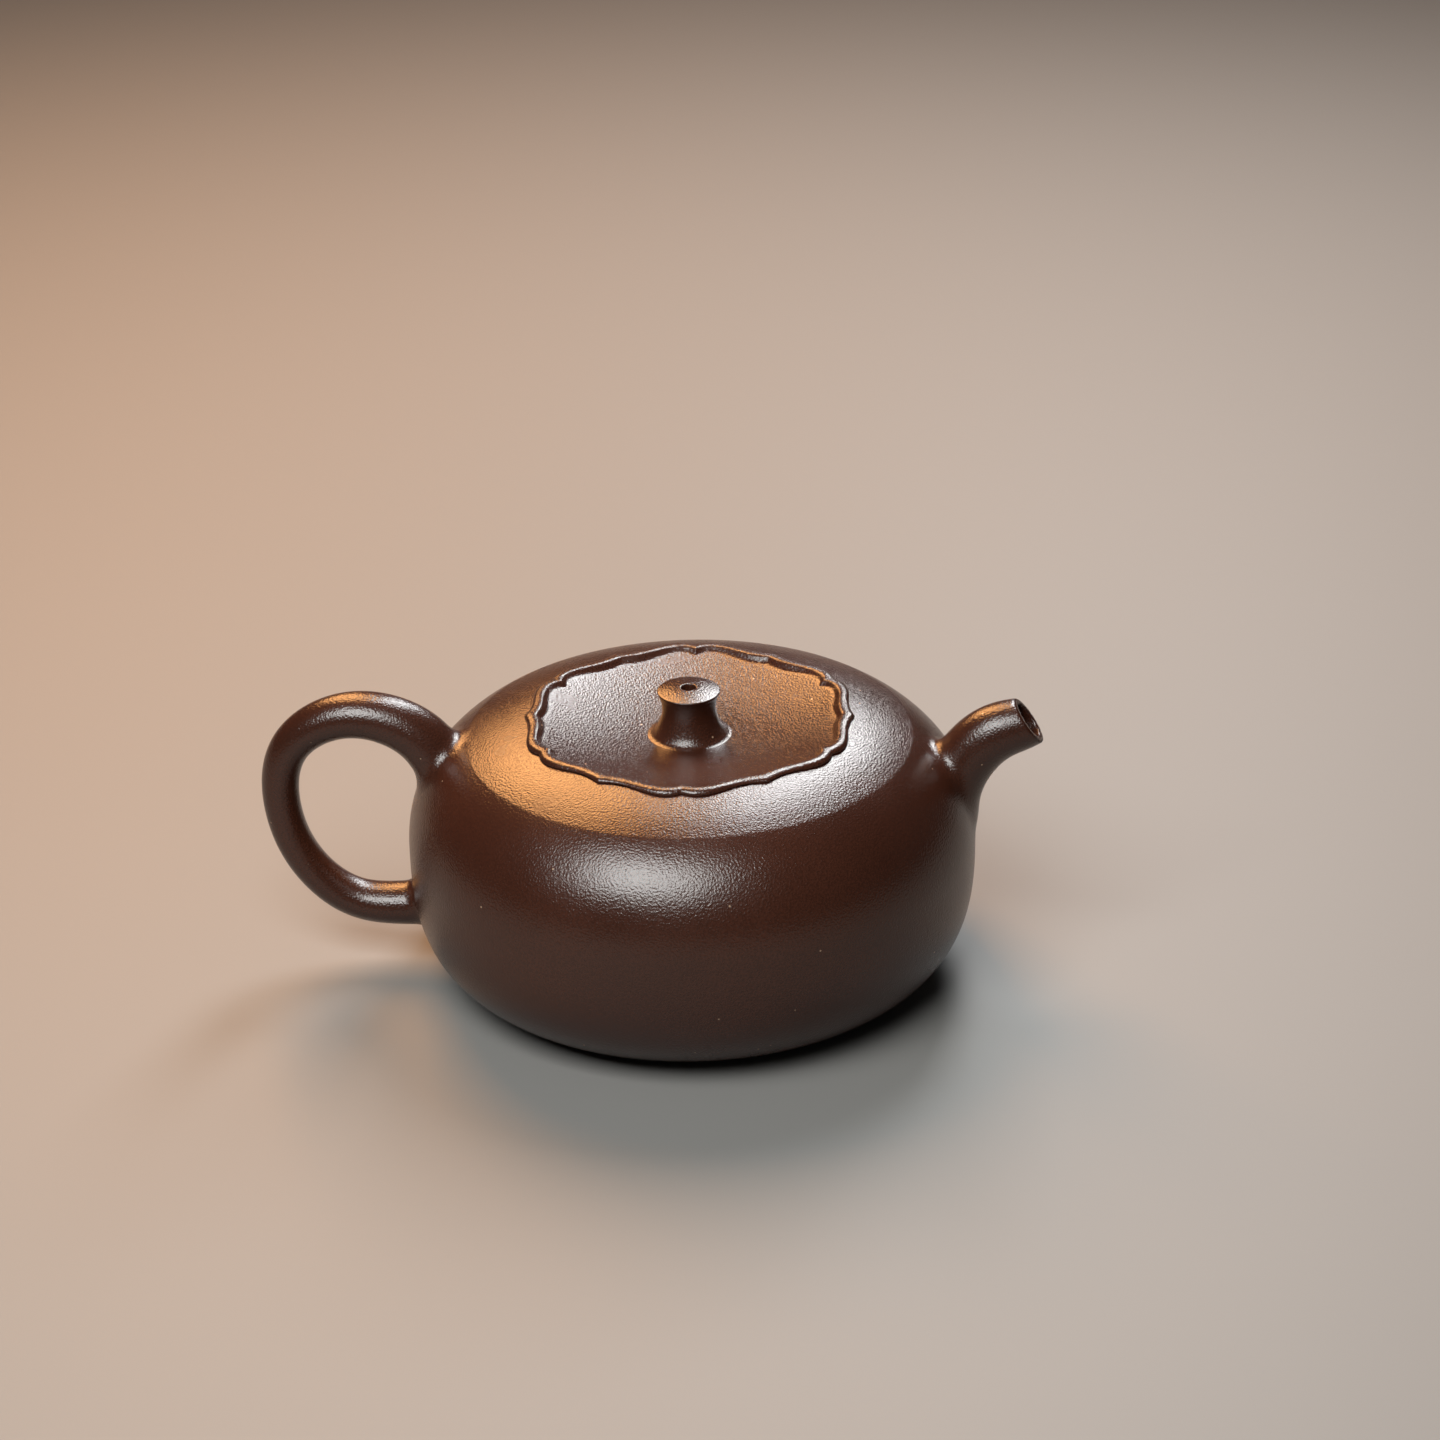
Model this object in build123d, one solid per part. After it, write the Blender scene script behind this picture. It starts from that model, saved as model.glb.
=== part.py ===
from build123d import *
from math import asin, cos, pi, radians, sin, tan
import os

# A squat stoneware teapot for one or two people. Millimetres, +Z up. The origin is the centre of the
# base, on the surface that the pot stands on. The spout points to +X and the handle to -X.
# The pot is built as a potter builds it: slabs, a bent wall, a ring, a spout and a handle that are
# joined face to face, and a loose lid made of a disc, a rim bead, a flange and a knob.

# Belly: two superellipse quarters that meet at the widest circle. The upper one aims at a flat top of
# its own, and stops at the arris, a faint edge where the shallower dome of the shoulder begins.
BELLY_RADIUS = 56.0
BELLY_HEIGHT = 28.5
WALL = 3.0
BASE_RADIUS = 26.8
BASE_POWER = 3.02
FLAT_TOP_RADIUS = 21.0
FLAT_TOP_HEIGHT = 55.16
WALL_POWER = 2.2
PROFILE_STEPS = 9
ARRIS_RADIUS = 43.8
ARRIS_SLOPE = 0.42
DOME_TOP_SLOPE = 0.186

# Mouth: a step in the shoulder, with a ring below it that the lid sits on
RECESS_RADIUS = 31.25
SEAT_HEIGHT = 51.3
MOUTH_RADIUS = 27.5
MOUTH_RING_RADIUS = 33.0
MOUTH_RING_BOTTOM = 48.3

# Lid
LID_SIDE_GAP = 0.25
LID_SEAT_GAP = 0.1
LID_RIM_GAP = 0.15
LID_FLOOR_HEIGHT = 49.9
LID_EDGE_HEIGHT = 53.0
LID_DISH_RADIUS = 28.0
LID_THICKNESS = 2.4
FLANGE_BOTTOM = 45.2
FLANGE_THICKNESS = 2.4

# Rim bead: six lobes. Each lobe runs from an outward cusp, through a hollow, to a crest and a small
# inward notch, and back the same way. Outer and inner radii are paired with degrees from the cusp.
LOBES = 6
CUSP_DIRECTION = 0.0
BEAD_OUTLINE = (
    (32.4, 0.0), (31.75, 4.0), (31.6, 9.5), (32.6, 17.0), (33.35, 23.0), (33.2, 27.0), (32.6, 30.0),
)
BEAD_INSIDE = (
    (29.4, 0.0), (28.9, 4.0), (28.9, 9.5), (29.95, 17.0), (30.65, 23.0), (30.4, 27.0), (29.4, 30.0),
)
BEAD_TOP = 54.4

# Knob: the radius and height of its rim, with a low crown above that
KNOB_FOOT_RADIUS = 7.9
KNOB_WAIST_RADIUS = 5.25
KNOB_WAIST_HEIGHT = 55.2
KNOB_RIM_RADIUS = 6.2
KNOB_RIM_HEIGHT = 59.3
KNOB_CROWN = 0.85
VENT_RADIUS = 1.1
VENT_MOUTH_RADIUS = 1.45
VENT_MOUTH_DEPTH = 3.0

# Spout: a hollow tube along a Bezier curve in the XZ plane, cut off square to the pouring direction
SPOUT_CURVE = ((49.5, 35.6), (56.2, 52.2), (61.9, 50.4), (66.4, 52.7))
SPOUT_ROOT_RADIUS = 6.0
SPOUT_MIDDLE_SWELL = 1.1
SPOUT_TIP_RADIUS = 4.9
SPOUT_WALL = 1.4
SPOUT_TIP_TILT = 35.0
SPOUT_SECTIONS = 9
SPOUT_FLARE = 0.9
SPOUT_RUN_IN = 5.0
SPOUT_RUN_OUT = 3.0

# Strainer: holes through the belly wall behind the spout
STRAINER_CENTRE = (52.6, 41.3)
STRAINER_TILT = 32.0
STRAINER_HOLE_RADIUS = 1.1
STRAINER_PITCH = 3.4
STRAINER_RING_HOLES = 6

# Handle: an oval section along a smooth loop in the XZ plane. Each point is (x, z, half thickness).
HANDLE_POINTS = (
    (-48.6, 43.2, 5.6),
    (-52.6, 49.0, 5.2),
    (-59.6, 53.3, 4.8),
    (-68.3, 54.0, 4.4),
    (-78.8, 47.4, 3.9),
    (-81.1, 33.5, 3.6),
    (-76.7, 21.5, 3.6),
    (-67.0, 13.4, 3.9),
    (-59.3, 12.4, 4.2),
    (-52.0, 12.6, 4.4),
)
HANDLE_OVAL = 1.15
HANDLE_SECTIONS = 25
HANDLE_FLARE = 0.8

# Construction blocks stand on their lower face, and only have to reach past the solids that they cut
STANDING = (Align.CENTER, Align.CENTER, Align.MIN)
FAR = 120.0


def superellipse_point(share, flat_radius, flat_height, power, inset):
    """Point (radius, height) on a superellipse quarter whose widest circle is the belly's.

    Share runs from 0 at the quarter's flat end to 1 at the widest circle, and the whole quarter is
    moved in by inset.
    """
    reach = BELLY_RADIUS - inset - flat_radius
    rise = flat_height - BELLY_HEIGHT
    out = sin(0.5 * pi * share) ** (2 / power)
    up = max(cos(0.5 * pi * share), 0) ** (2 / power)
    return (flat_radius + reach * out, BELLY_HEIGHT + rise * up)


def arris_share(inset):
    """Where the upper quarter reaches the arris radius."""
    out = (ARRIS_RADIUS - FLAT_TOP_RADIUS) / (BELLY_RADIUS - inset - FLAT_TOP_RADIUS)
    return 2 / pi * asin(out ** (WALL_POWER / 2))


def wall_direction(share, inset):
    """Direction of the upper quarter, down and out, as (radius, height)."""
    reach = BELLY_RADIUS - inset - FLAT_TOP_RADIUS
    rise = FLAT_TOP_HEIGHT - inset - BELLY_HEIGHT
    steepness = tan(0.5 * pi * share) ** (2 - 2 / WALL_POWER)
    return (1, -rise / reach * steepness)


def turned(edges):
    """Solid of revolution about Z from edges drawn as (radius, height)."""
    return revolve(Plane.XZ * make_face(edges), Axis.Z, 360)


def belly_blank(inset):
    """Solid body of the pot with its outer surface moved in by inset."""
    shares = [step / (PROFILE_STEPS - 1) for step in range(PROFILE_STEPS)]
    low_points = [superellipse_point(k, BASE_RADIUS, inset, BASE_POWER, inset) for k in shares]
    low = Spline(low_points, tangents=[(1, 0), (0, 1)])
    first = arris_share(inset)
    top = FLAT_TOP_HEIGHT - inset
    wall_points = [
        superellipse_point(first + (1 - first) * k, FLAT_TOP_RADIUS, top, WALL_POWER, inset) for k in shares
    ]
    wall = Spline(wall_points, tangents=[wall_direction(first, inset), (0, -1)])
    dome = shoulder_dome(wall @ 0)
    axis_line = Polyline(dome @ 1, (0, (dome @ 1).Y), (0, inset), low @ 0)
    return turned([low, wall, dome, axis_line])


def shoulder_dome(arris):
    """Parabola from the arris up and in to the mouth's recess."""
    width = ARRIS_RADIUS - RECESS_RADIUS
    rise = 0.5 * width * (ARRIS_SLOPE + DOME_TOP_SLOPE)
    middle = (ARRIS_RADIUS - 0.5 * width, arris.Y + 0.5 * width * ARRIS_SLOPE)
    return Bezier(arris, middle, (RECESS_RADIUS, arris.Y + rise))


def ring(outer, inner, bottom, top):
    """Plain ring about Z, or a disc where inner is 0."""
    body = Cylinder(outer, top - bottom, align=STANDING)
    if inner > 0:
        body -= Cylinder(inner, top - bottom, align=STANDING)
    return Pos(0, 0, bottom) * body


def belly_shell():
    """Closed shell of even thickness, before it is parted into base, wall and shoulder."""
    return belly_blank(0) - belly_blank(WALL)


def make_base_slab():
    return belly_shell() & ring(BASE_RADIUS, 0, 0, WALL)


def make_shoulder_slab():
    return belly_shell() & ring(ARRIS_RADIUS, RECESS_RADIUS, BELLY_HEIGHT, FLAT_TOP_HEIGHT)


def make_mouth_ring():
    """Ring with a step: its rim fills the recess and its outer part backs the shoulder slab."""
    blank = ring(MOUTH_RING_RADIUS, MOUTH_RADIUS, MOUTH_RING_BOTTOM, SEAT_HEIGHT)
    inside = blank & belly_blank(WALL)
    rim = ring(RECESS_RADIUS, MOUTH_RADIUS, MOUTH_RING_BOTTOM, SEAT_HEIGHT)
    return inside + rim


def strainer_plane():
    """Plane on the belly behind the spout, facing out along the belly's normal."""
    tilt = radians(STRAINER_TILT)
    return Plane(
        origin=(STRAINER_CENTRE[0], 0, STRAINER_CENTRE[1]), x_dir=(0, 1, 0), z_dir=(cos(tilt), 0, sin(tilt))
    )


def strainer_holes():
    """Seven short drills: one in the middle and a ring of six."""
    drill = Cylinder(STRAINER_HOLE_RADIUS, 6 * WALL)
    drills = [strainer_plane() * drill]
    for spot in PolarLocations(STRAINER_PITCH, STRAINER_RING_HOLES).locations:
        drills.append(strainer_plane() * spot * drill)
    return drills


def make_body_wall():
    wall = belly_shell() - ring(BASE_RADIUS, 0, -WALL, 2 * WALL)
    wall -= ring(ARRIS_RADIUS, 0, BELLY_HEIGHT, FAR)
    return wall - strainer_holes()


def cross_plane(curve, t, ahead):
    """Plane square to a curve at t, moved ahead along the curve's direction there."""
    return Plane(origin=curve @ t + (curve % t) * ahead, x_dir=(0, 1, 0), z_dir=curve % t)


def spout_radius(t):
    """Outer radius along the spout, t from 0 at the belly to 1 at the lip."""
    plain = SPOUT_ROOT_RADIUS + (SPOUT_TIP_RADIUS - SPOUT_ROOT_RADIUS) * t
    return plain + SPOUT_MIDDLE_SWELL * t * (1 - t) + SPOUT_FLARE * max(0, 1 - 4 * t) ** 2


def spout_tube(shrink):
    """Solid tube along the spout's curve, with its radius reduced by shrink."""
    curve = Plane.XZ * Bezier(*SPOUT_CURVE)
    sections = [cross_plane(curve, 0, -SPOUT_RUN_IN) * Circle(SPOUT_ROOT_RADIUS - shrink)]
    for step in range(SPOUT_SECTIONS):
        t = step / (SPOUT_SECTIONS - 1)
        sections.append(cross_plane(curve, t, 0) * Circle(spout_radius(t) - shrink))
    sections.append(cross_plane(curve, 1, SPOUT_RUN_OUT) * Circle(SPOUT_TIP_RADIUS - shrink))
    return loft(sections)


def make_spout():
    tube = spout_tube(0) - spout_tube(SPOUT_WALL)
    tilt = radians(SPOUT_TIP_TILT)
    tip_x, tip_z = SPOUT_CURVE[-1]
    lip = Plane(origin=(tip_x, 0, tip_z), x_dir=(0, 1, 0), z_dir=(cos(tilt), 0, sin(tilt)))
    beyond = lip * Box(FAR, FAR, FAR, align=STANDING)
    return tube - beyond - belly_blank(0)


def handle_half(u, stations):
    """Half thickness of the handle at u, in line between the points on each side of it."""
    index = max(i for i, station in enumerate(stations[:-1]) if station <= u)
    share = (u - stations[index]) / (stations[index + 1] - stations[index])
    return HANDLE_POINTS[index][2] * (1 - share) + HANDLE_POINTS[index + 1][2] * share


def make_handle():
    """Solid loop whose ends widen a little where they join the belly."""
    path = Plane.XZ * Spline([(x, z) for x, z, half in HANDLE_POINTS])
    stations = [path.param_at_point(Vector(x, 0, z)) for x, z, half in HANDLE_POINTS]
    sections = []
    for step in range(HANDLE_SECTIONS):
        u = step / (HANDLE_SECTIONS - 1)
        half = handle_half(u, stations) + HANDLE_FLARE * max(0, 1 - 8 * u) ** 2
        sections.append(cross_plane(path, u, 0) * Ellipse(HANDLE_OVAL * half, half))
    return loft(sections) - belly_blank(0)


def dish_height(radius):
    """Height of the lid's dished floor."""
    return LID_FLOOR_HEIGHT + (LID_EDGE_HEIGHT - LID_FLOOR_HEIGHT) * (radius / LID_DISH_RADIUS) ** 2


def dish_edge(outer, drop):
    """Curve of the dished floor from the centre to a radius, lowered by drop."""
    slope = 2 * (LID_EDGE_HEIGHT - LID_FLOOR_HEIGHT) * outer / LID_DISH_RADIUS**2
    points = [(outer * step / 4, dish_height(outer * step / 4) - drop) for step in range(5)]
    return Spline(points, tangents=[(1, 0), (1, slope)])


def vent():
    """Vent drill that widens evenly over the last few millimetres below the top of the knob."""
    drill = ring(VENT_RADIUS, 0, 0, FAR)
    mouth_bottom = KNOB_RIM_HEIGHT + KNOB_CROWN - VENT_MOUTH_DEPTH
    widest = 2 * VENT_MOUTH_RADIUS - VENT_RADIUS
    mouth = Cone(VENT_RADIUS, widest, 2 * VENT_MOUTH_DEPTH, align=STANDING)
    return drill + Pos(0, 0, mouth_bottom) * mouth


def make_lid_disc():
    """Dished plate whose flat edge sits in the recess of the mouth."""
    edge_radius = RECESS_RADIUS - LID_SIDE_GAP
    land_radius = MOUTH_RADIUS - LID_SIDE_GAP
    land_height = SEAT_HEIGHT + LID_SEAT_GAP
    floor = dish_edge(LID_DISH_RADIUS, 0)
    under = dish_edge(land_radius, LID_THICKNESS)
    outline = [
        floor,
        Polyline(floor @ 1, (edge_radius, LID_EDGE_HEIGHT), (edge_radius, land_height),
                 (land_radius, land_height), under @ 1),
        under,
        Line(under @ 0, floor @ 0),
    ]
    return turned(outline) - vent()


def lobed_face(half_lobe):
    """Flat face bounded by a lobed outline, from the (radius, degrees) points of half a lobe."""
    edges = []
    for lobe in range(LOBES):
        cusp = CUSP_DIRECTION + lobe * 360 / LOBES
        for side in (1, -1):
            edges.append(Spline([polar(radius, cusp + side * angle) for radius, angle in half_lobe]))
    return make_face(edges)


def polar(radius, angle):
    return (radius * cos(radians(angle)), radius * sin(radians(angle)))


def make_lid_rim_bead():
    """Lobed rim that stands on the disc's edge and overhangs the shoulder by a thin gap."""
    strip = lobed_face(BEAD_OUTLINE) - lobed_face(BEAD_INSIDE)
    bead = Pos(0, 0, LID_EDGE_HEIGHT) * extrude(strip, BEAD_TOP - LID_EDGE_HEIGHT)
    raised_shoulder = Pos(0, 0, LID_RIM_GAP) * belly_blank(0)
    overhang = raised_shoulder & ring(FAR, RECESS_RADIUS - LID_SIDE_GAP, 0, FAR)
    return bead - overhang


def make_lid_flange():
    outer = MOUTH_RADIUS - LID_SIDE_GAP
    collar = ring(outer, outer - FLANGE_THICKNESS, FLANGE_BOTTOM, SEAT_HEIGHT)
    return collar - under_disc(outer)


def under_disc(outer):
    """Everything above the underside of the lid's disc."""
    under = dish_edge(outer, LID_THICKNESS)
    return turned([under, Polyline(under @ 1, (outer, FAR), (0, FAR), under @ 0)])


def make_knob():
    """Waisted knob with a low crown, whose foot spreads on to the dished floor."""
    foot = (KNOB_FOOT_RADIUS, dish_height(KNOB_FOOT_RADIUS))
    waist = (KNOB_WAIST_RADIUS, KNOB_WAIST_HEIGHT)
    rim = (KNOB_RIM_RADIUS, KNOB_RIM_HEIGHT)
    side = Spline([foot, waist, rim], tangents=[(-1, 0.5), (0.35, 1)])
    crown = (0, KNOB_RIM_HEIGHT + KNOB_CROWN)
    top = Spline([rim, crown], tangents=[(-1, 2 * KNOB_CROWN / KNOB_RIM_RADIUS), (-1, 0)])
    inside_disc = LID_FLOOR_HEIGHT - LID_THICKNESS / 2
    stem = Polyline(crown, (0, inside_disc), (KNOB_FOOT_RADIUS, inside_disc), foot)
    return turned([side, top, stem]) - vent() - make_lid_disc()


PARTS = {
    "body_wall": make_body_wall,
    "base_slab": make_base_slab,
    "shoulder_slab": make_shoulder_slab,
    "mouth_ring": make_mouth_ring,
    "spout": make_spout,
    "handle": make_handle,
    "lid_disc": make_lid_disc,
    "lid_rim_bead": make_lid_rim_bead,
    "lid_flange": make_lid_flange,
    "knob": make_knob,
}

os.makedirs("parts", exist_ok=True)
for node, make in PARTS.items():
    shape = make()
    shape.label = node
    export_step(shape, f"parts/{node}.step")
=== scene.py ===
import math

import bpy
import numpy as np
from mathutils import Matrix, Vector


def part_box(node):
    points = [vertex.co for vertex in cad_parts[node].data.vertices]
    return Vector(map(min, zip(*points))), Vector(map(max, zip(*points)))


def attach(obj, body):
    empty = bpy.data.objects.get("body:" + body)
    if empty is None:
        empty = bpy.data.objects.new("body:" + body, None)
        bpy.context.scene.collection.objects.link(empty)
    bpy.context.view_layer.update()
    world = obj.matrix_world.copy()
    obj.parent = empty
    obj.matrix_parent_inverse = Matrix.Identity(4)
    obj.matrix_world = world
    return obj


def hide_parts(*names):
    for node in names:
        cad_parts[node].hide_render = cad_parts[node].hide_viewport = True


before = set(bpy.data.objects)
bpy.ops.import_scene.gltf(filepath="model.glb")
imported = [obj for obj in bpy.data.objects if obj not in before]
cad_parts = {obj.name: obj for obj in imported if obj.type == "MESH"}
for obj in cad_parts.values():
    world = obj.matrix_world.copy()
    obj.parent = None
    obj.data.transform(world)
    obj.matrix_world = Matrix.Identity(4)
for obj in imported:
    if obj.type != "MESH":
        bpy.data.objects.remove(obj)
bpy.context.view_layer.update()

# All shapes below are worked out in millimetres and turned into metres when a mesh is made.
MM = 0.001

# ---------------------------------------------------------------- sizes read from the frame


def corner(node, which):
    """Lowest (0) or highest (1) corner of a CAD node, in millimetres."""
    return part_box(node)[which] / MM


BELLY_RADIUS = corner("body_wall", 1).x
BASE_RADIUS = corner("base_slab", 1).x
ARRIS_RADIUS = corner("shoulder_slab", 1).x
WALL = corner("base_slab", 1).z
DOME_TOP_HEIGHT = corner("shoulder_slab", 1).z
RING_RADIUS = corner("mouth_ring", 1).x
RING_BOTTOM = corner("mouth_ring", 0).z
SEAT_HEIGHT = corner("mouth_ring", 1).z
DISC_RADIUS = corner("lid_disc", 1).x
DISC_LAND_HEIGHT = SEAT_HEIGHT + 0.1
DISC_TOP_HEIGHT = corner("lid_disc", 1).z
FLANGE_RADIUS = corner("lid_flange", 1).x
FLANGE_BOTTOM = corner("lid_flange", 0).z
BEAD_TOP = corner("lid_rim_bead", 1).z

# ---------------------------------------------------------------- the pot's own shape

BELLY_HEIGHT = 28.5
BASE_POWER = 3.02
FLAT_TOP_RADIUS = 21.0
FLAT_TOP_HEIGHT = 55.16
WALL_POWER = 2.2
ARRIS_SLOPE = 0.42
DOME_TOP_SLOPE = 0.186
ARRIS_SOFTNESS = 0.04
RECESS_RADIUS = DISC_RADIUS + 0.25
MOUTH_RADIUS = FLANGE_RADIUS + 0.25
EDGE_SOFTNESS = 0.45
# How far inside the recess the dome's curve still counts
DOME_RUN_IN = 4.0
# Least slope used to turn a superellipse's value into a distance, as a share of one over its rise
LEAST_SLOPE = 0.2

SPOUT_CURVE = np.array([(49.5, 35.6), (56.2, 52.2), (61.9, 50.4), (66.4, 52.7)])
SPOUT_ROOT_RADIUS = 6.0
SPOUT_TIP_RADIUS = 4.9
SPOUT_SWELL = 1.1
SPOUT_FLARE = 0.9
SPOUT_WALL = 1.4
SPOUT_RUN_OUT = 4.0
SPOUT_TIP_TILT = math.radians(35.0)
SPOUT_BLEND = 3.2

STRAINER_CENTRE = np.array([52.6, 0.0, 41.3])
STRAINER_TILT = math.radians(32.0)
STRAINER_HOLE_RADIUS = 1.1
STRAINER_PITCH = 3.4
STRAINER_RING_HOLES = 6
STRAINER_REACH = 9.0

# Handle: (x, z, half thickness) from the shoulder down to the foot of the belly
HANDLE_POINTS = np.array([
    (-48.6, 43.2, 5.6), (-52.6, 49.0, 5.2), (-59.6, 53.3, 4.8), (-68.3, 54.0, 4.4), (-78.8, 47.4, 3.9),
    (-81.1, 33.5, 3.6), (-76.7, 21.5, 3.6), (-67.0, 13.4, 3.9), (-59.3, 12.4, 4.2), (-52.0, 12.6, 4.4),
])
HANDLE_OVAL = 1.15
HANDLE_BLEND = 3.0
CURVE_SAMPLES = 240
NEAREST_BATCH = 20000
# Where the spout and the handle can change the pot's distance function
SIDE_PIECE_REACH = 14.0
SPOUT_ZONE_X = 42.0
SPOUT_ZONE_Z = 20.0
HANDLE_ZONE_X = -40.0

# ---------------------------------------------------------------- small tools for distance functions


def smooth_min(a, b, k):
    """Lower of two distances, rounded over where they differ by less than k."""
    share = np.maximum(k - np.abs(a - b), 0) / k
    return np.minimum(a, b) - share * share * k / 4


def smooth_max(a, b, k):
    """Higher of two distances, rounded over in the same way."""
    return -smooth_min(-a, -b, k)


def superellipse(r, z, flat_radius, flat_height, power, inset):
    """Signed distance, near enough, from a superellipse quarter of the belly."""
    reach = BELLY_RADIUS - inset - flat_radius
    rise = abs(flat_height - BELLY_HEIGHT)
    out = np.maximum(r - flat_radius, 0) / reach
    up = np.maximum((z - BELLY_HEIGHT) * np.sign(flat_height - BELLY_HEIGHT), 0) / rise
    value = out**power + up**power
    slope = np.hypot(power / reach * out ** (power - 1), power / rise * up ** (power - 1))
    return (value - 1) / np.maximum(slope, LEAST_SLOPE / rise)


def arris_height(inset):
    """Height at which the wall reaches the arris."""
    out = (ARRIS_RADIUS - FLAT_TOP_RADIUS) / (BELLY_RADIUS - inset - FLAT_TOP_RADIUS)
    rise = FLAT_TOP_HEIGHT - inset - BELLY_HEIGHT
    return BELLY_HEIGHT + rise * (1 - out**WALL_POWER) ** (1 / WALL_POWER)


def dome_height(r, inset):
    """Height of the shoulder's shallow dome inside the arris."""
    run = ARRIS_RADIUS - r
    bend = (ARRIS_SLOPE - DOME_TOP_SLOPE) / (2 * (ARRIS_RADIUS - RECESS_RADIUS))
    return arris_height(inset) + ARRIS_SLOPE * run - bend * run * run


def belly(r, z, inset):
    """Signed distance from the turned body, with its surface moved in by inset."""
    low = superellipse(r, z, BASE_RADIUS, inset, BASE_POWER, inset)
    high = superellipse(r, z, FLAT_TOP_RADIUS, FLAT_TOP_HEIGHT - inset, WALL_POWER, inset)
    side = np.where(z < BELLY_HEIGHT, low, high)
    steep = np.hypot(1, ARRIS_SLOPE)
    dome = (z - dome_height(np.maximum(r, RECESS_RADIUS - DOME_RUN_IN), inset)) / steep
    return smooth_max(side, dome, ARRIS_SOFTNESS)


def below_and_inside(r, z, radius, bottom):
    """Signed distance from an upright hole of that radius, open at the top."""
    return np.maximum(r - radius, bottom - z)


def hollow(r, z):
    """Signed distance from the space inside the pot, with its mouth and the lid's recess."""
    seat_ring = np.maximum(MOUTH_RADIUS - r, RING_BOTTOM - z)
    inside = smooth_max(belly(r, z, WALL), -seat_ring, 2 * EDGE_SOFTNESS)
    mouth = below_and_inside(r, z, MOUTH_RADIUS, RING_BOTTOM - WALL)
    recess = below_and_inside(r, z, RECESS_RADIUS, SEAT_HEIGHT)
    return smooth_min(smooth_min(inside, mouth, EDGE_SOFTNESS), recess, EDGE_SOFTNESS)


# ---------------------------------------------------------------- curves of the spout and the handle


def bezier(t):
    """Points of the spout's curve, as (x, z)."""
    t = t[:, None]
    p = SPOUT_CURVE
    return (1 - t) ** 3 * p[0] + 3 * (1 - t) ** 2 * t * p[1] + 3 * (1 - t) * t * t * p[2] + t**3 * p[3]


def spout_samples():
    """Even samples of the spout's centre line, run on past the lip, with the outer radius."""
    t = np.linspace(0, 1, CURVE_SAMPLES)
    line = bezier(t)
    radius = SPOUT_ROOT_RADIUS + (SPOUT_TIP_RADIUS - SPOUT_ROOT_RADIUS) * t
    radius += SPOUT_SWELL * t * (1 - t) + SPOUT_FLARE * np.maximum(0, 1 - 4 * t) ** 2
    last_step = line[-1] - line[-2]
    extra = int(SPOUT_RUN_OUT / np.linalg.norm(last_step))
    more = line[-1] + last_step * np.arange(1, extra + 1)[:, None]
    return np.vstack([line, more]), np.concatenate([radius, np.full(extra, SPOUT_TIP_RADIUS)])


def natural_spline(points, count):
    """Smooth curve through points, as count samples even in chord length."""
    chord = np.concatenate([[0], np.cumsum(np.linalg.norm(np.diff(points[:, :2], axis=0), axis=1))])
    step = np.diff(chord)
    n = len(points)
    system = np.eye(n)
    right = np.zeros_like(points)
    for i in range(1, n - 1):
        system[i, i - 1:i + 2] = step[i - 1], 2 * (step[i - 1] + step[i]), step[i]
        right[i] = 6 * ((points[i + 1] - points[i]) / step[i] - (points[i] - points[i - 1]) / step[i - 1])
    bend = np.linalg.solve(system, right)
    at = np.linspace(0, chord[-1], count)
    i = np.clip(np.searchsorted(chord, at, side="right") - 1, 0, n - 2)
    h = step[i][:, None]
    a = (chord[i + 1] - at)[:, None]
    b = (at - chord[i])[:, None]
    curve = (bend[i] * a**3 + bend[i + 1] * b**3) / (6 * h)
    return curve + (points[i] / h - bend[i] * h / 6) * a + (points[i + 1] / h - bend[i + 1] * h / 6) * b


def nearest_on(line, values, x, z):
    """Offset (x, z) from the nearest point of a sampled curve in the XZ plane, and the value there."""
    spots = np.stack([x, z], -1)
    best = np.empty(len(spots), int)
    for start in range(0, len(spots), NEAREST_BATCH):
        part = spots[start:start + NEAREST_BATCH]
        gap = ((part[:, None, :] - line[None]) ** 2).sum(-1)
        best[start:start + NEAREST_BATCH] = gap.argmin(1)
    mid = np.clip(best, 1, len(line) - 2)
    before, here, after = line[mid - 1], line[mid], line[mid + 1]
    gap = [((spots - p) ** 2).sum(-1) for p in (before, here, after)]
    bend = np.maximum(gap[0] - 2 * gap[1] + gap[2], 1e-9)
    shift = np.clip(0.5 * (gap[0] - gap[2]) / bend, -1, 1)
    half_step = (after - before) / 2
    point = here + shift[:, None] * half_step + 0.5 * shift[:, None] ** 2 * (after - 2 * here + before)
    value = values[mid] + shift * (values[mid + 1] - values[mid - 1]) / 2
    return spots - point, value


SPOUT_LINE, SPOUT_RADII = spout_samples()
HANDLE_CURVE = natural_spline(HANDLE_POINTS, CURVE_SAMPLES)


def spout_distance(x, y, z):
    """Signed distances from the spout's outside and from its bore."""
    offset, radius = nearest_on(SPOUT_LINE, SPOUT_RADII, x, z)
    away = np.sqrt((offset**2).sum(-1) + y * y)
    lip = (x - SPOUT_CURVE[-1][0]) * math.cos(SPOUT_TIP_TILT)
    lip += (z - SPOUT_CURVE[-1][1]) * math.sin(SPOUT_TIP_TILT)
    return smooth_max(away - radius, lip, EDGE_SOFTNESS), away - radius + SPOUT_WALL


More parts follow.
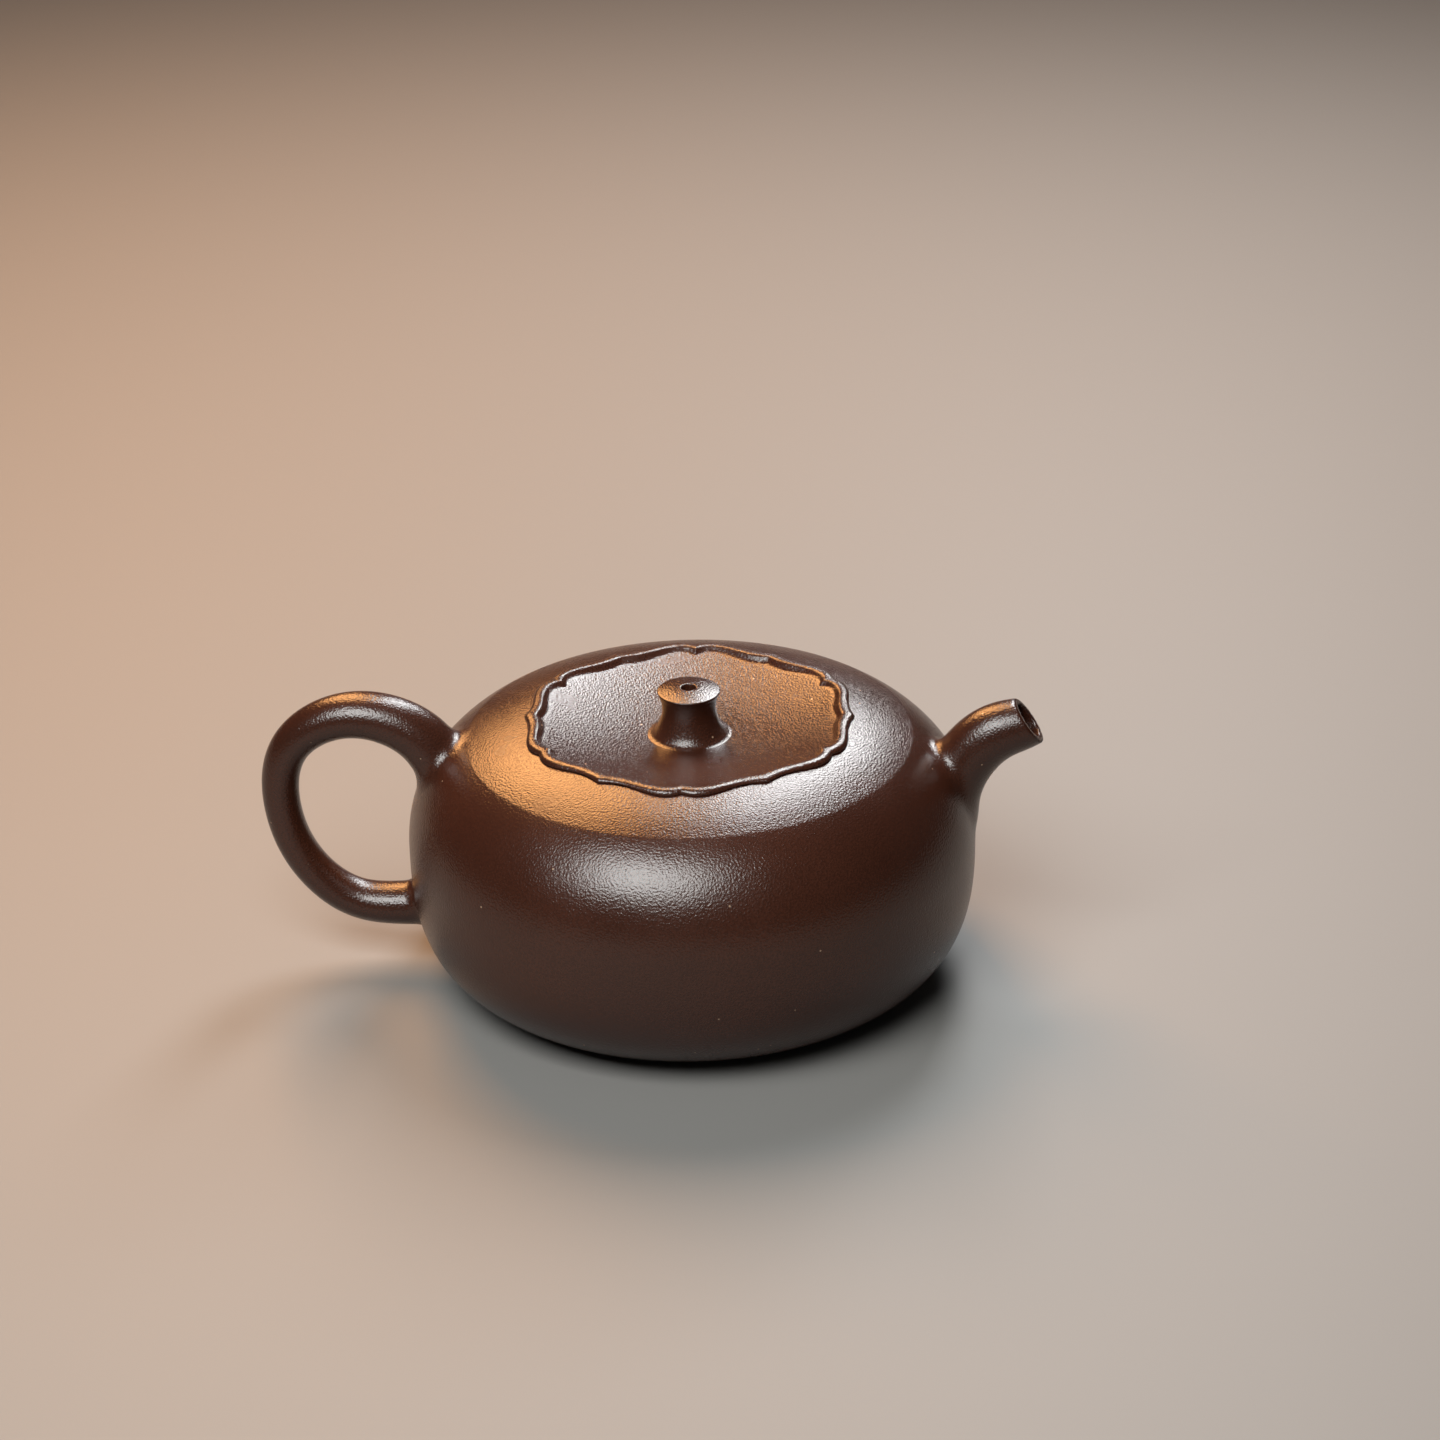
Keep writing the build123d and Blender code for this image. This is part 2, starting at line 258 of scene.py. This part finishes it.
def handle_distance(x, y, z):
    """Signed distance from the handle, whose section is an oval wider across than it is thick."""
    offset, half = nearest_on(HANDLE_CURVE[:, :2], HANDLE_CURVE[:, 2], x, z)
    in_plane = (offset**2).sum(-1)
    size = np.sqrt(in_plane / half**2 + (y / (half * HANDLE_OVAL)) ** 2)
    slope = np.sqrt(in_plane / half**4 + y * y / (half * HANDLE_OVAL) ** 4)
    return size * (size - 1) / np.maximum(slope, 1e-6)


def strainer_distance(x, y, z):
    """Signed distance from the holes drilled through the wall behind the spout."""
    out = np.array([math.cos(STRAINER_TILT), 0, math.sin(STRAINER_TILT)])
    up = np.array([-math.sin(STRAINER_TILT), 0, math.cos(STRAINER_TILT)])
    from_centre = np.stack([x, y, z], -1) - STRAINER_CENTRE
    along, across, high = from_centre @ out, y, from_centre @ up
    nearest = np.hypot(across, high)
    for hole in range(STRAINER_RING_HOLES):
        turn = 2 * math.pi * hole / STRAINER_RING_HOLES
        gap = np.hypot(across - STRAINER_PITCH * math.cos(turn), high - STRAINER_PITCH * math.sin(turn))
        nearest = np.minimum(nearest, gap)
    return np.maximum(nearest - STRAINER_HOLE_RADIUS, np.abs(along) - STRAINER_REACH)


def near_spout(x, y, z):
    """Where the spout or its strainer can change the distance."""
    return (x > SPOUT_ZONE_X) & (np.abs(y) < SIDE_PIECE_REACH) & (z > SPOUT_ZONE_Z)


def near_handle(x, y):
    """Where the handle can change the distance."""
    return (x < HANDLE_ZONE_X) & (np.abs(y) < SIDE_PIECE_REACH)


def pot_distance(x, y, z):
    """Signed distance from the whole fired pot, negative in the clay."""
    r = np.hypot(x, y)
    turned = belly(r, z, 0)
    solid = turned.copy()
    by_handle = near_handle(x, y)
    handle = handle_distance(x[by_handle], y[by_handle], z[by_handle])
    solid[by_handle] = smooth_min(solid[by_handle], handle, HANDLE_BLEND)
    by_spout = near_spout(x, y, z)
    sx, sy, sz = x[by_spout], y[by_spout], z[by_spout]
    tube, bore = spout_distance(sx, sy, sz)
    joined = smooth_min(solid[by_spout], tube, SPOUT_BLEND)
    passage = np.maximum(bore, -turned[by_spout])
    drilled = np.maximum(strainer_distance(sx, sy, sz), turned[by_spout])
    solid[by_spout] = smooth_max(joined, -np.minimum(passage, drilled), EDGE_SOFTNESS / 2)
    return smooth_max(solid, -hollow(r, z), EDGE_SOFTNESS)


# ---------------------------------------------------------------- meshing a distance function


def stations(*runs):
    """Grid lines from runs of (start, step), the last being (end, None)."""
    lines = []
    for (start, step), (end, _) in zip(runs, runs[1:]):
        count = max(1, round((end - start) / step))
        lines += list(np.linspace(start, end, count, endpoint=False))
    return np.array(lines + [runs[-1][0]])


# The round grid's lines, closer together at the handle, the spout, the arris and the shoulder
TURN_LINES = np.radians(stations((-13, 0.65), (-7, 0.4), (7, 0.65), (13, 2.5), (168, 0.65), (174, 0.45),
                                 (186, 0.65), (192, 2.5), (347, None)))[:-1]
RADIUS_LINES = stations((0, 2.5), (24, 0.5), (34, 1.0), (42.8, 0.3), (44.6, 0.8), (57, 0.6), (86.4, None))
HEIGHT_LINES = stations((-0.75, 0.5), (4.25, 1.3), (34, 0.45), (60, None))


def cylinder_grid():
    """Signed distance at each (turn, radius, height) grid point, and the points' places."""
    turn, r, z = np.meshgrid(TURN_LINES, RADIUS_LINES, HEIGHT_LINES, indexing="ij")
    places = np.stack([r * np.cos(turn), r * np.sin(turn), z], -1)
    flat = places.reshape(-1, 3)
    return pot_distance(flat[:, 0], flat[:, 1], flat[:, 2]).reshape(turn.shape), places


def in_grid(cell, cells):
    """Whether each cell lies between the grid's ends in radius and height."""
    low = (cell[:, 1] >= 0) & (cell[:, 2] >= 0)
    return low & (cell[:, 1] < cells[1]) & (cell[:, 2] < cells[2])


def surface_net(value, places):
    """Vertices, one in each cell that the surface crosses, and the quads that join them.

    The first grid axis wraps round. Axis lines at radius 0 are closed with a fan.
    """
    inside = value < 0
    cells = (value.shape[0], value.shape[1] - 1, value.shape[2] - 1)
    total = np.zeros(cells + (3,))
    count = np.zeros(cells, int)
    crossings = []
    for axis in range(3):
        nxt = [slice(None)] * 3
        here = [slice(None)] * 3
        if axis == 0:
            far_value, far_place, far_inside = (np.roll(a, -1, 0) for a in (value, places, inside))
            near_value, near_place, near_inside = value, places, inside
        else:
            here[axis] = slice(0, -1)
            nxt[axis] = slice(1, None)
            here, nxt = tuple(here), tuple(nxt)
            near_value, near_place, near_inside = value[here], places[here], inside[here]
            far_value, far_place, far_inside = value[nxt], places[nxt], inside[nxt]
        found = np.argwhere(near_inside != far_inside)
        at = tuple(found.T)
        share = near_value[at] / (near_value[at] - far_value[at])
        spot = near_place[at] + share[:, None] * (far_place[at] - near_place[at])
        crossings.append((axis, found, near_inside[at], spot))
        others = [a for a in range(3) if a != axis]
        for first in (0, -1):
            for second in (0, -1):
                cell = found.copy()
                cell[:, others[0]] += first
                cell[:, others[1]] += second
                cell[:, 0] %= cells[0]
                good = in_grid(cell, cells)
                np.add.at(total, tuple(cell[good].T), spot[good])
                np.add.at(count, tuple(cell[good].T), 1)
    number = np.full(cells, -1)
    used = np.argwhere(count > 0)
    number[tuple(used.T)] = np.arange(len(used))
    points = total[tuple(used.T)] / count[tuple(used.T)][:, None]
    quads, fans, extra = [], [], []
    for axis, found, starts_inside, spot in crossings:
        others = [a for a in range(3) if a != axis]
        ring = []
        for first, second in ((-1, -1), (0, -1), (0, 0), (-1, 0)):
            cell = found.copy()
            cell[:, others[0]] += first
            cell[:, others[1]] += second
            cell[:, 0] %= cells[0]
            ring.append(cell)
        if axis == 2:
            on_axis = found[:, 1] == 0
            for height in np.unique(found[on_axis][:, 2]):
                rows = on_axis & (found[:, 2] == height)
                hub = len(points) + len(extra)
                extra.append(spot[rows].mean(0))
                rim = number[:, 0, height]
                pairs = zip(rim, np.roll(rim, -1)) if starts_inside[rows][0] else zip(np.roll(rim, -1), rim)
                fans += [(hub, a, b) for a, b in pairs]
            keep = ~on_axis
        else:
            keep = np.ones(len(found), bool)
        keep &= np.all([in_grid(cell, cells) for cell in ring], axis=0)
        corners = np.stack([number[tuple(c[keep].T)] for c in ring], -1)
        flip = starts_inside[keep] if axis != 1 else ~starts_inside[keep]
        corners[flip] = corners[flip][:, ::-1]
        quads.append(corners)
    return np.vstack([points] + extra), [tuple(q) for q in np.vstack(quads).tolist()] + fans


SLOPE_STEP = 0.02
LEAST_SQUARED_SLOPE = 0.25
LONGEST_MOVE = 0.5
SETTLING_ROUNDS = 3


def slope_of(function, points, step=SLOPE_STEP):
    """Gradient of a distance function by central differences."""
    slope = np.empty_like(points)
    for axis in range(3):
        ahead, behind = points.copy(), points.copy()
        ahead[:, axis] += step
        behind[:, axis] -= step
        slope[:, axis] = (function(*ahead.T) - function(*behind.T)) / (2 * step)
    return slope


def settle(function, points, rounds):
    """Moves points onto the zero surface of a distance function."""
    for _ in range(rounds):
        slope = slope_of(function, points)
        value = function(*points.T)
        move = slope * (value / np.maximum((slope**2).sum(1), LEAST_SQUARED_SLOPE))[:, None]
        points = points - np.clip(move, -LONGEST_MOVE, LONGEST_MOVE)
    return points


def mesh_object(name, points, faces):
    """Object from points in millimetres."""
    mesh = bpy.data.meshes.new(name)
    mesh.from_pydata((np.asarray(points) * MM).tolist(), [], faces)
    mesh.validate()
    mesh.shade_smooth()
    piece = bpy.data.objects.new(name, mesh)
    bpy.context.scene.collection.objects.link(piece)
    return piece


def make_pot():
    """The pot's whole skin, inside and out, as one closed surface."""
    value, places = cylinder_grid()
    points, faces = surface_net(value, places)
    points = settle(pot_distance, points, SETTLING_ROUNDS)
    piece = mesh_object("pot_shell", points, faces)
    normals = slope_of(pot_distance, points)
    normals /= np.maximum(np.linalg.norm(normals, axis=1, keepdims=True), 1e-9)
    piece.data.normals_split_custom_set_from_vertices(normals.tolist())
    return piece


# ---------------------------------------------------------------- lid

LOBES = 6
LOBE_HALF = 30.0
# The bead's outer edge and the inner edge of its crown, as (degrees from the cusp, radius)
BEAD_OUTLINE = np.array([
    (0, 32.4), (4, 31.75), (9.5, 31.6), (17, 32.6), (23, 33.35), (27, 33.2), (30, 32.6),
])
BEAD_CROWN = np.array([
    (0, 29.95), (4, 29.5), (9.5, 29.5), (17, 30.55), (23, 31.25), (27, 31.0), (30, 29.95),
])
# The bead's outer side, as (distance in from its outline, share of its height above the shoulder)
BEAD_OUTER_SIDE = ((0.02, 0.02), (0.0, 0.15), (0.08, 0.40), (0.3, 0.67), (0.65, 0.88), (1.1, 0.98))
# Its inner side, as (distance in from the crown's edge, share of its height above the lid's floor,
# softness of its corners in degrees)
BEAD_INNER_SIDE = (
    (-0.65, 1.0, 0.4), (-0.3, 0.97, 0.3), (-0.05, 0.88, 0.3), (0.18, 0.72, 0.3), (0.42, 0.48, 0.4),
    (0.66, 0.25, 0.6), (0.92, 0.09, 1.0), (1.25, 0.02, 2.0), (1.7, 0.0, 4.5), (2.3, 0.0, 8.0),
)
RIM_GAP = 0.15
RIM_UNDERCUT = 0.12
FLOOR_CENTRE = 49.9
# Radii of the mesh rings on the lid's floor and on its underside
FLOOR_RINGS = (2, 4, 6, 8, 10, 12, 14, 16, 18, 20, 22, 23.5, 24.8, 25.8)
UNDERSIDE_RINGS = (20, 16, 12, 8, 5, 3)
SEAT_BEVEL = 0.25
FLANGE_ROUNDING = 0.6
FLANGE_CORNER = 0.17
SHARP_DEGREES = 50.0
DISH_RADIUS = 28.0
DISC_THICKNESS = 2.4
FLANGE_THICKNESS = 2.4
VENT_RADIUS = 1.1
VENT_MOUTH_RADIUS = 1.45


def lobe_radius(half_lobe, angle, softness=0.3):
    """Radius of a lobed outline at an angle from the nearest cusp, in degrees, 0 to 30.

    Softness is the angle over which a cusp or notch is rounded.
    """
    curve = natural_spline(half_lobe, 200)
    near_cusp = np.hypot(angle, softness) - softness
    left = LOBE_HALF - near_cusp
    soft = LOBE_HALF - (np.hypot(left, softness) - softness)
    return np.interp(soft, curve[:, 0], curve[:, 1])


def lid_turns():
    """Angles round the lid, closer together beside each cusp and notch."""
    half = LOBE_HALF * (0.5 - 0.5 * np.cos(np.linspace(0, math.pi, 27)))
    one = np.concatenate([half[:-1], 2 * LOBE_HALF - half[:0:-1]])
    return np.concatenate([one + 2 * LOBE_HALF * lobe for lobe in range(LOBES)])


def from_cusp(turn):
    """Angle from the nearest cusp for an angle round the lid, both in degrees."""
    within = np.mod(turn, 2 * LOBE_HALF)
    return np.minimum(within, 2 * LOBE_HALF - within)


def dish_height(r):
    """Height of the lid's hollow floor."""
    return FLOOR_CENTRE + (DISC_TOP_HEIGHT - FLOOR_CENTRE) * (r / DISH_RADIUS) ** 2


def make_lid_plate():
    """Disc, rim bead and flange as one closed surface, from the vent out over the rim and back below."""
    turns = lid_turns()
    edge = lobe_radius(BEAD_OUTLINE, from_cusp(turns))
    rim_bottom = dome_height(edge, 0) + RIM_GAP
    loops = []

    def circle(r, z):
        """Adds a plain round loop."""
        loops.append((np.full(len(turns), r), np.full(len(turns), z)))

    for r in (VENT_RADIUS,) + FLOOR_RINGS:
        circle(r, dish_height(r))
    for inward, share, softness in reversed(BEAD_INNER_SIDE):
        r = lobe_radius(BEAD_CROWN, from_cusp(turns), softness) - inward
        loops.append((r, dish_height(r) + (BEAD_TOP - dish_height(r)) * share))
    for inward, share in reversed(BEAD_OUTER_SIDE):
        loops.append((edge - inward, rim_bottom + (BEAD_TOP - rim_bottom) * share))
    loops.append((edge - RIM_UNDERCUT, rim_bottom))
    for share in (0.5, 1.0):
        r = edge - RIM_UNDERCUT + (DISC_RADIUS - edge + RIM_UNDERCUT) * share
        loops.append((r, dome_height(r, 0) + RIM_GAP))
    land = FLANGE_RADIUS
    root = land - FLANGE_THICKNESS
    for r, z in (
        (DISC_RADIUS, DISC_LAND_HEIGHT + SEAT_BEVEL), (DISC_RADIUS - SEAT_BEVEL, DISC_LAND_HEIGHT),
        (land + 0.3, DISC_LAND_HEIGHT), (land + 0.05, DISC_LAND_HEIGHT - 0.02),
        (land, DISC_LAND_HEIGHT - 0.3), (land, 0.5 * (DISC_LAND_HEIGHT + FLANGE_BOTTOM)),
        (land, FLANGE_BOTTOM + FLANGE_ROUNDING), (land - FLANGE_CORNER, FLANGE_BOTTOM + FLANGE_CORNER),
        (land - FLANGE_ROUNDING, FLANGE_BOTTOM), (root + FLANGE_ROUNDING, FLANGE_BOTTOM),
        (root + FLANGE_CORNER, FLANGE_BOTTOM + FLANGE_CORNER), (root, FLANGE_BOTTOM + FLANGE_ROUNDING),
    ):
        circle(r, z)
    circle(root, dish_height(root) - DISC_THICKNESS - 0.8)
    circle(root - 0.3, dish_height(root) - DISC_THICKNESS - 0.25)
    for r in (root - 1.0,) + UNDERSIDE_RINGS + (VENT_RADIUS,):
        circle(r, dish_height(r) - DISC_THICKNESS)
    return lathe("lid_plate", turns, loops)


def lathe(name, turns, loops):
    """Closed ring surface from loops of (radius, height), each an array over the turns."""
    angle = np.radians(turns)
    points = np.vstack([np.stack([r * np.cos(angle), r * np.sin(angle), z], -1) for r, z in loops])
    n = len(turns)
    faces = []
    for i in range(len(loops)):
        j = (i + 1) % len(loops)
        for k in range(n):
            m = (k + 1) % n
            faces.append((i * n + k, j * n + k, j * n + m, i * n + m))
    piece = mesh_object(name, points, faces)
    piece.data.set_sharp_from_angle(angle=math.radians(SHARP_DEGREES))
    return piece


# The knob's side, as (radius, height above the lid's floor at its foot), and its low crown
KNOB_SIDE = np.array([
    (8.3, 0.0, 0), (7.8, 0.09, 0), (7.35, 0.32, 0), (6.9, 0.74, 0), (6.45, 1.38, 0), (6.05, 2.2, 0),
    (5.7, 3.15, 0), (5.4, 4.2, 0), (5.26, 5.2, 0), (5.3, 6.2, 0), (5.5, 7.3, 0), (5.85, 8.37, 0),
    (6.2, 9.13, 0),
])
KNOB_CROWN = 0.85
KNOB_RIM_EDGE = 0.12
KNOB_SIDE_RINGS = 44
KNOB_CROWN_RINGS = (5.4, 4.6, 3.8, 3.0, 2.3, 1.8)
KNOB_TURNS = 96
# Below the knob's top, the vent's widened mouth as (depth, how much narrower than the mouth)
VENT_MOUTH_SIDE = ((0.15, 0.0), (0.5, 0.05), (1.7, 0.2))
VENT_MOUTH_DEPTH = 3.0


def make_knob():
    """Waisted knob with a low crown, a foot that melts into the lid's floor and a vent down its middle."""
    turns = np.linspace(0, 360, KNOB_TURNS, endpoint=False)
    foot_radius = KNOB_SIDE[0, 0]
    foot_height = float(dish_height(foot_radius))
    side = natural_spline(KNOB_SIDE, KNOB_SIDE_RINGS)[:, :2] + (0, foot_height)
    rim_radius, rim_height = side[-1]

    def crown(r):
        """Point on the low crown at a radius."""
        rise = (KNOB_CROWN - KNOB_RIM_EDGE) * (1 - (r / rim_radius) ** 2)
        return (r, rim_height + KNOB_RIM_EDGE + rise)

    rim = [(rim_radius - 0.02, rim_height + 0.06), (rim_radius - 0.08, rim_height + 0.13)]
    top = [crown(r) for r in (rim_radius - 0.2,) + KNOB_CROWN_RINGS + (VENT_MOUTH_RADIUS + 0.12,)]
    mouth = rim_height + KNOB_CROWN
    vent = [(VENT_MOUTH_RADIUS - narrower, mouth - depth) for depth, narrower in VENT_MOUTH_SIDE]
    vent += [(VENT_RADIUS, mouth - VENT_MOUTH_DEPTH), (VENT_RADIUS, FLOOR_CENTRE - 0.6)]
    foot = [(foot_radius - 0.6, foot_height - 0.6), (foot_radius + 0.05, foot_height - 0.06)]
    outline = foot + [tuple(p) for p in side] + rim + top + vent
    ones = np.ones(len(turns))
    return lathe("lid_knob", turns, [(r * ones, z * ones) for r, z in reversed(outline)])


# ---------------------------------------------------------------- materials


def clay_material(name, seed):
    """Fired unglazed clay: dark brown, fine grained, with sparse pale specks and a soft polish."""
    material = bpy.data.materials.new(name)
    material.use_nodes = True
    nodes, links = material.node_tree.nodes, material.node_tree.links
    nodes.clear()

    def node(kind, **settings):
        made = nodes.new(kind)
        for key, value in settings.items():
            setattr(made, key, value)
        return made

    def noise(scale, detail, source, rough=0.5):
        made = node("ShaderNodeTexNoise")
        made.inputs["Scale"].default_value = scale
        made.inputs["Detail"].default_value = detail
        made.inputs["Roughness"].default_value = rough
        links.new(source, made.inputs["Vector"])
        return made.outputs["Fac"]

    def mapped(value, low, high, to_low, to_high):
        made = node("ShaderNodeMapRange")
        made.inputs["From Min"].default_value = low
        made.inputs["From Max"].default_value = high
        made.inputs["To Min"].default_value = to_low
        made.inputs["To Max"].default_value = to_high
        links.new(value, made.inputs["Value"])
        return made.outputs["Result"]

    def mixed(factor, first, second):
        made = node("ShaderNodeMix", data_type="RGBA")
        links.new(factor, made.inputs["Factor"])
        for socket, colour in (("A", first), ("B", second)):
            target = [s for s in made.inputs if s.name == socket and s.type == "RGBA"][0]
            if isinstance(colour, tuple):
                target.default_value = colour
            else:
                links.new(colour, target)
        return [s for s in made.outputs if s.type == "RGBA"][0]

    place = node("ShaderNodeTexCoord").outputs["Object"]
    shifted = node("ShaderNodeMapping")
    shifted.inputs["Location"].default_value = (seed, 0.37 * seed, 0.71 * seed)
    links.new(place, shifted.inputs["Vector"])
    place = shifted.outputs["Vector"]

    cloud = mapped(noise(28, 4, place), 0.35, 0.65, 0, 1)
    grain = noise(2400, 1, place, 0.5)
    colour = mixed(cloud, (0.033, 0.0096, 0.0048, 1), (0.045, 0.0136, 0.0070, 1))
    colour = mixed(mapped(grain, 0.38, 0.62, 0, 0.5), colour, (0.020, 0.0060, 0.0031, 1))

    specks = node("ShaderNodeTexVoronoi")
    specks.inputs["Scale"].default_value = 420
    links.new(place, specks.inputs["Vector"])
    rare = node("ShaderNodeSeparateColor")
    links.new(specks.outputs["Color"], rare.inputs["Color"])
    chosen = mapped(rare.outputs["Red"], 0.93, 0.94, 0, 1)
    dot = mapped(specks.outputs["Distance"], 0.10, 0.05, 0, 1)
    both = node("ShaderNodeMath", operation="MULTIPLY")
    links.new(chosen, both.inputs[0])
    links.new(dot, both.inputs[1])
    colour = mixed(both.outputs[0], colour, (0.30, 0.20, 0.13, 1))

    shader = node("ShaderNodeBsdfPrincipled")
    links.new(colour, shader.inputs["Base Color"])
    links.new(mapped(noise(60, 3, place), 0.3, 0.7, 0.23, 0.28), shader.inputs["Roughness"])
    shader.inputs["IOR"].default_value = 1.5
    shader.inputs["Specular IOR Level"].default_value = 0.55

    fine = node("ShaderNodeBump")
    fine.inputs["Strength"].default_value = 1.0
    fine.inputs["Distance"].default_value = 0.00009
    links.new(grain, fine.inputs["Height"])
    soft = node("ShaderNodeBump")
    soft.inputs["Strength"].default_value = 0.2
    soft.inputs["Distance"].default_value = 0.0003
    links.new(noise(95, 2, place), soft.inputs["Height"])
    links.new(fine.outputs["Normal"], soft.inputs["Normal"])
    links.new(soft.outputs["Normal"], shader.inputs["Normal"])

    output = node("ShaderNodeOutputMaterial")
    links.new(shader.outputs["BSDF"], output.inputs["Surface"])
    return material


def floor_material():
    """Plain pale matt surface."""
    material = bpy.data.materials.new("pale_floor")
    material.use_nodes = True
    shader = material.node_tree.nodes["Principled BSDF"]
    shader.inputs["Base Color"].default_value = (0.175, 0.172, 0.165, 1)
    shader.inputs["Roughness"].default_value = 0.6
    return material


# ---------------------------------------------------------------- light, floor and camera

LIGHT_DISTANCE = 0.9
FLOOR_HALF_WIDTH = 2.5
WORLD_STRENGTH = 0.04


def area_light(name, place, size, power, colour):
    """Rectangular light at a place given in light distances, aimed at the pot."""
    data = bpy.data.lights.new(name, "AREA")
    data.shape = "RECTANGLE"
    data.size = size[0] * LIGHT_DISTANCE
    data.size_y = size[1] * LIGHT_DISTANCE
    data.energy = power
    data.color = colour
    lamp = bpy.data.objects.new(name, data)
    bpy.context.scene.collection.objects.link(lamp)
    lamp.location = Vector(place) * LIGHT_DISTANCE
    aim = Vector((0, 0, 0.04)) - lamp.location
    lamp.rotation_euler = aim.to_track_quat("-Z", "Y").to_euler()
    return lamp


def make_lights():
    area_light("warm_back_light", (-0.235, 0.47, 0.56), (0.28, 0.50), 5.1, (1.0, 0.47, 0.17))
    area_light("cool_back_light", (0.12, 0.48, 0.55), (0.18, 0.52), 4.1, (0.97, 0.99, 1.0))
    area_light("front_light", (-0.18, -0.42, 0.60), (0.50, 0.38), 6.2, (0.99, 1.0, 0.98))
    world = bpy.data.worlds.new("studio")
    world.use_nodes = True
    world.node_tree.nodes["Background"].inputs["Color"].default_value = (0.90, 0.88, 0.86, 1)
    world.node_tree.nodes["Background"].inputs["Strength"].default_value = WORLD_STRENGTH
    bpy.context.scene.world = world


def make_floor():
    half = FLOOR_HALF_WIDTH
    mesh = bpy.data.meshes.new("floor")
    corners = [(-half, -half, 0), (half, -half, 0), (half, half, 0), (-half, half, 0)]
    mesh.from_pydata(corners, [], [(0, 1, 2, 3)])
    mesh.materials.append(floor_material())
    plane = bpy.data.objects.new("floor", mesh)
    bpy.context.scene.collection.objects.link(plane)


CAMERA_ELEVATION = math.radians(26.2)
CAMERA_TURN = math.radians(2.69)
CAMERA_ROLL = math.radians(-1.31)
# Where the camera stands along its own right, up and back directions, in metres
CAMERA_OFFSET = (0.0049, 0.0475, 0.8282)
CAMERA_LENS = 102.9


def make_camera():
    """Camera placed by its own axes: right, up and back from the pot's base."""
    right = Vector((math.cos(CAMERA_TURN), math.sin(CAMERA_TURN), 0))
    ahead = Vector((-math.sin(CAMERA_TURN), math.cos(CAMERA_TURN), 0))
    up = math.sin(CAMERA_ELEVATION) * ahead + Vector((0, 0, math.cos(CAMERA_ELEVATION)))
    rolled_right = math.cos(CAMERA_ROLL) * right + math.sin(CAMERA_ROLL) * up
    rolled_up = math.cos(CAMERA_ROLL) * up - math.sin(CAMERA_ROLL) * right
    back = rolled_right.cross(rolled_up)
    data = bpy.data.cameras.new("camera")
    data.lens = CAMERA_LENS
    data.sensor_width = 36.0
    camera = bpy.data.objects.new("camera", data)
    place = Matrix((rolled_right, rolled_up, back)).transposed().to_4x4()
    across, high, away = CAMERA_OFFSET
    place.translation = rolled_right * across + rolled_up * high + back * away
    camera.matrix_world = place
    bpy.context.scene.collection.objects.link(camera)
    bpy.context.scene.camera = camera


# ---------------------------------------------------------------- the scene

pot = make_pot()
plate = make_lid_plate()
knob = make_knob()
pot.data.materials.append(clay_material("pot_clay", 0.0))
lid_clay = clay_material("lid_clay", 3.1)
plate.data.materials.append(lid_clay)
knob.data.materials.append(lid_clay)

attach(pot, "pot")
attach(plate, "lid")
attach(knob, "lid")
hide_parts("body_wall", "base_slab", "shoulder_slab", "mouth_ring", "spout", "handle")
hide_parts("lid_disc", "lid_rim_bead", "lid_flange")
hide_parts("knob")

make_floor()
make_lights()
make_camera()
bpy.context.scene.view_settings.view_transform = "Standard"

bpy.context.view_layer.update()
